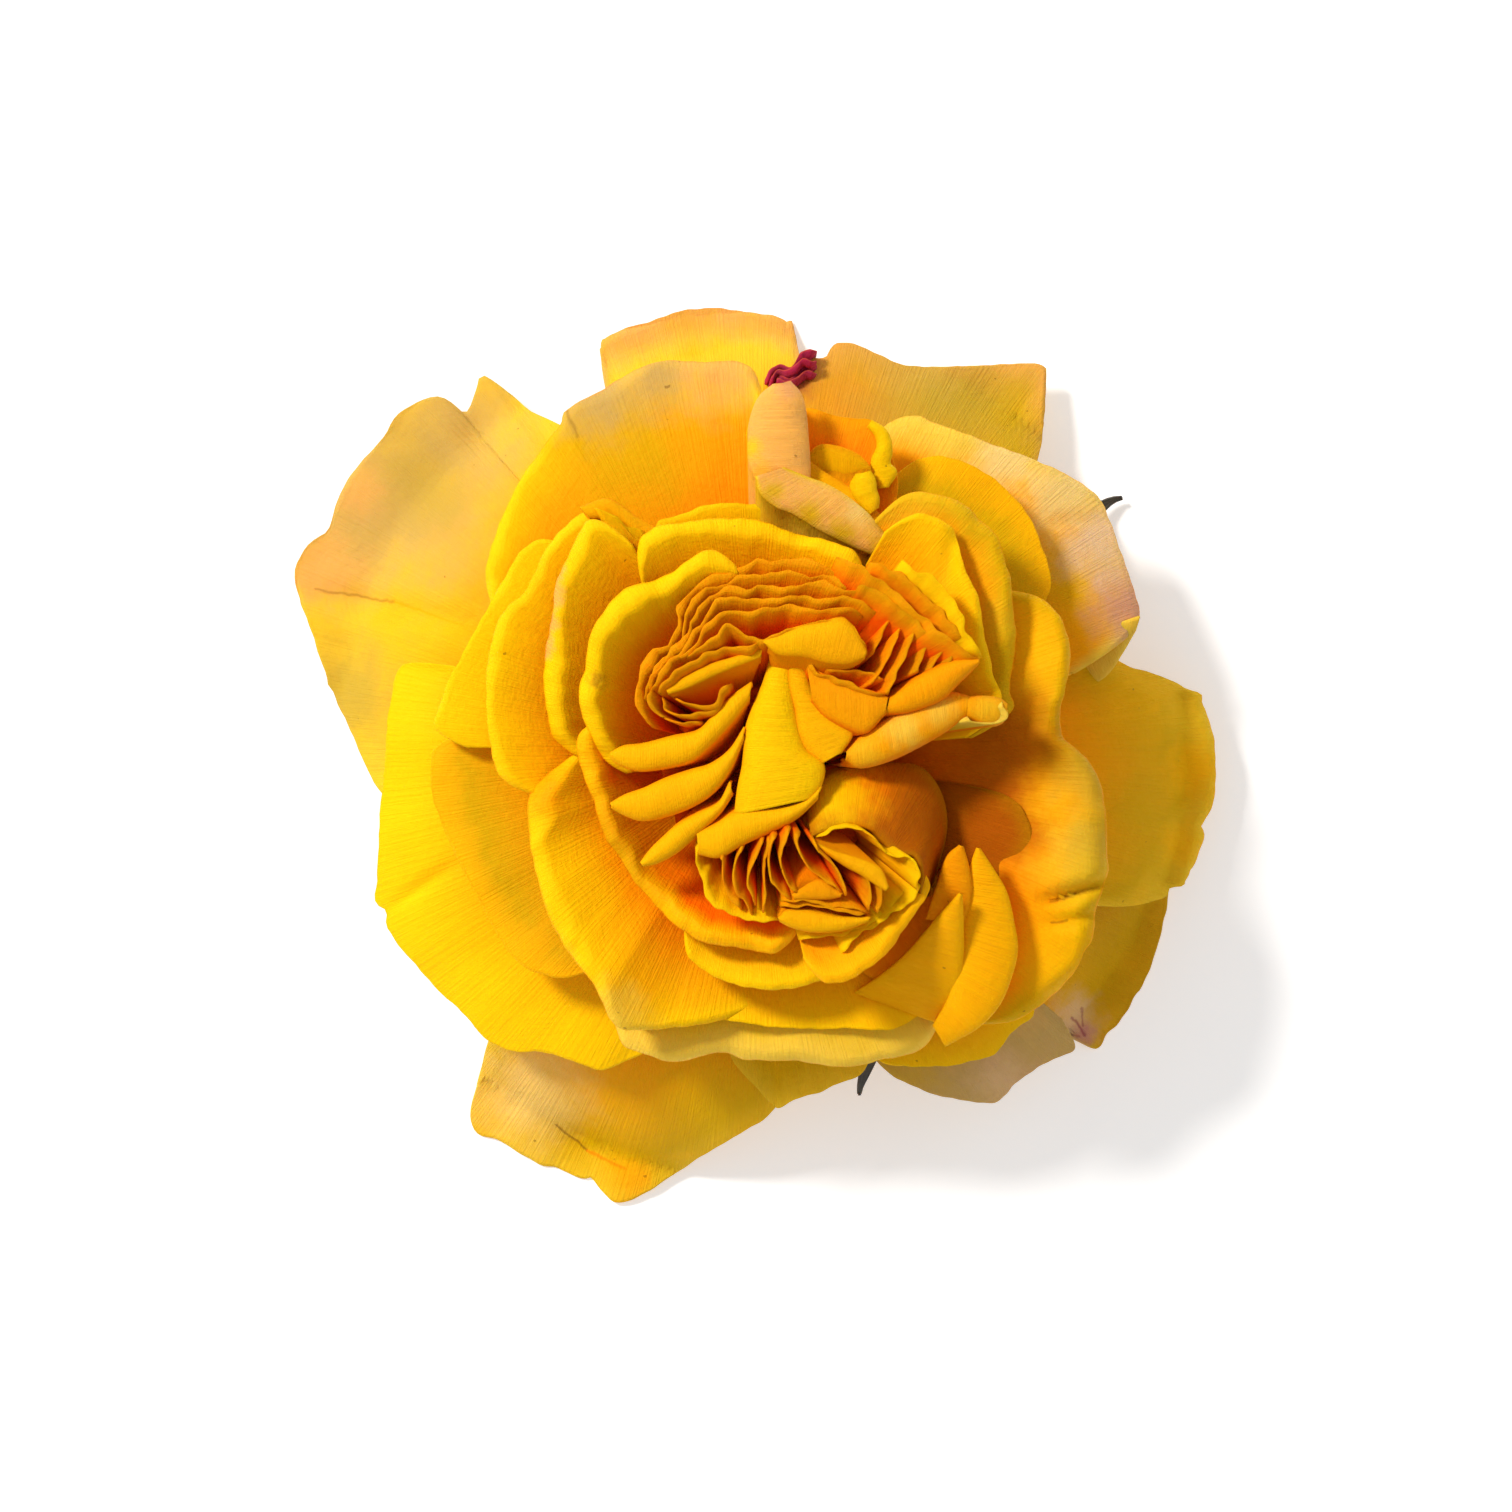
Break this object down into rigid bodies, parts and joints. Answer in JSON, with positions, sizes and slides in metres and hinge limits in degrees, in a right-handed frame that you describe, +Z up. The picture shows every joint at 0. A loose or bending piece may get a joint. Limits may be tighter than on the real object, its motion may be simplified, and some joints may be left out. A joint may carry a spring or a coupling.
{
  "type": "cut rose bloom",
  "caption": "Fully open, very double yellow garden rose bloom, cut just under the hip, lying face up on its drooping guard petals.",
  "frame": {"origin": "centre of the stem's flat cut, on the level that the lowest guard petals touch", "axes": "+Z up along the flower's axis, out of the heart; +X and +Y to the right and to the top of the bloom as it is looked down on"},
  "size_m": [0.1176, 0.1148, 0.0475],
  "materials": {
    "petal_guard": "soft matt petal, golden yellow with a peach rolled rim",
    "petal_outer": "soft matt petal, golden yellow with a pale cream rolled rim",
    "petal_inner": "soft satin petal, bright yellow that deepens to orange at the base",
    "petal_orange": "soft matt petal, deep orange",
    "petal_blush": "soft matt back of a petal, pinkish blush",
    "petal_heart": "soft satin folded petals, golden yellow edges over deep orange folds",
    "sepal": "matt, dark brownish green",
    "green": "smooth, slightly waxy green plant tissue"
  },
  "bodies": {
    "root": {"guard_blush": "petal_blush", "guard_bottom": "petal_guard", "guard_bottom_left": "petal_guard", "guard_left": "petal_guard", "guard_left_lower": "petal_guard", "guard_low": "petal_guard", "guard_lower_right": "petal_guard", "guard_right": "petal_guard", "guard_top": "petal_guard", "guard_top_right": "petal_guard", "guard_upper_right": "petal_guard", "heart_fingers": "petal_heart", "heart_lower": "petal_heart", "heart_upper": "petal_heart", "hip": "green", "middle_bottom": "petal_inner", "middle_left_a": "petal_inner", "middle_left_b": "petal_inner", "middle_lower_left": "petal_inner", "middle_lower_right": "petal_inner", "middle_right": "petal_orange", "middle_top_a": "petal_inner", "middle_top_b": "petal_inner", "outer_bottom": "petal_outer", "outer_left": "petal_outer", "outer_lip_right": "petal_outer", "outer_lower_left": "petal_outer", "outer_right": "petal_outer", "outer_top_fold": "petal_outer", "outer_top_small": "petal_outer", "outer_upper_left": "petal_outer", "outer_upper_right": "petal_outer", "outer_upper_right_orange": "petal_orange", "receptacle": "green", "ring_left": "petal_inner", "ring_lower_left": "petal_inner", "ring_lower_right": "petal_inner", "sepal_1": "sepal", "sepal_2": "sepal", "sepal_3": "sepal", "sepal_4": "sepal", "sepal_5": "sepal", "stem": "green"}
  },
  "joints": []
}
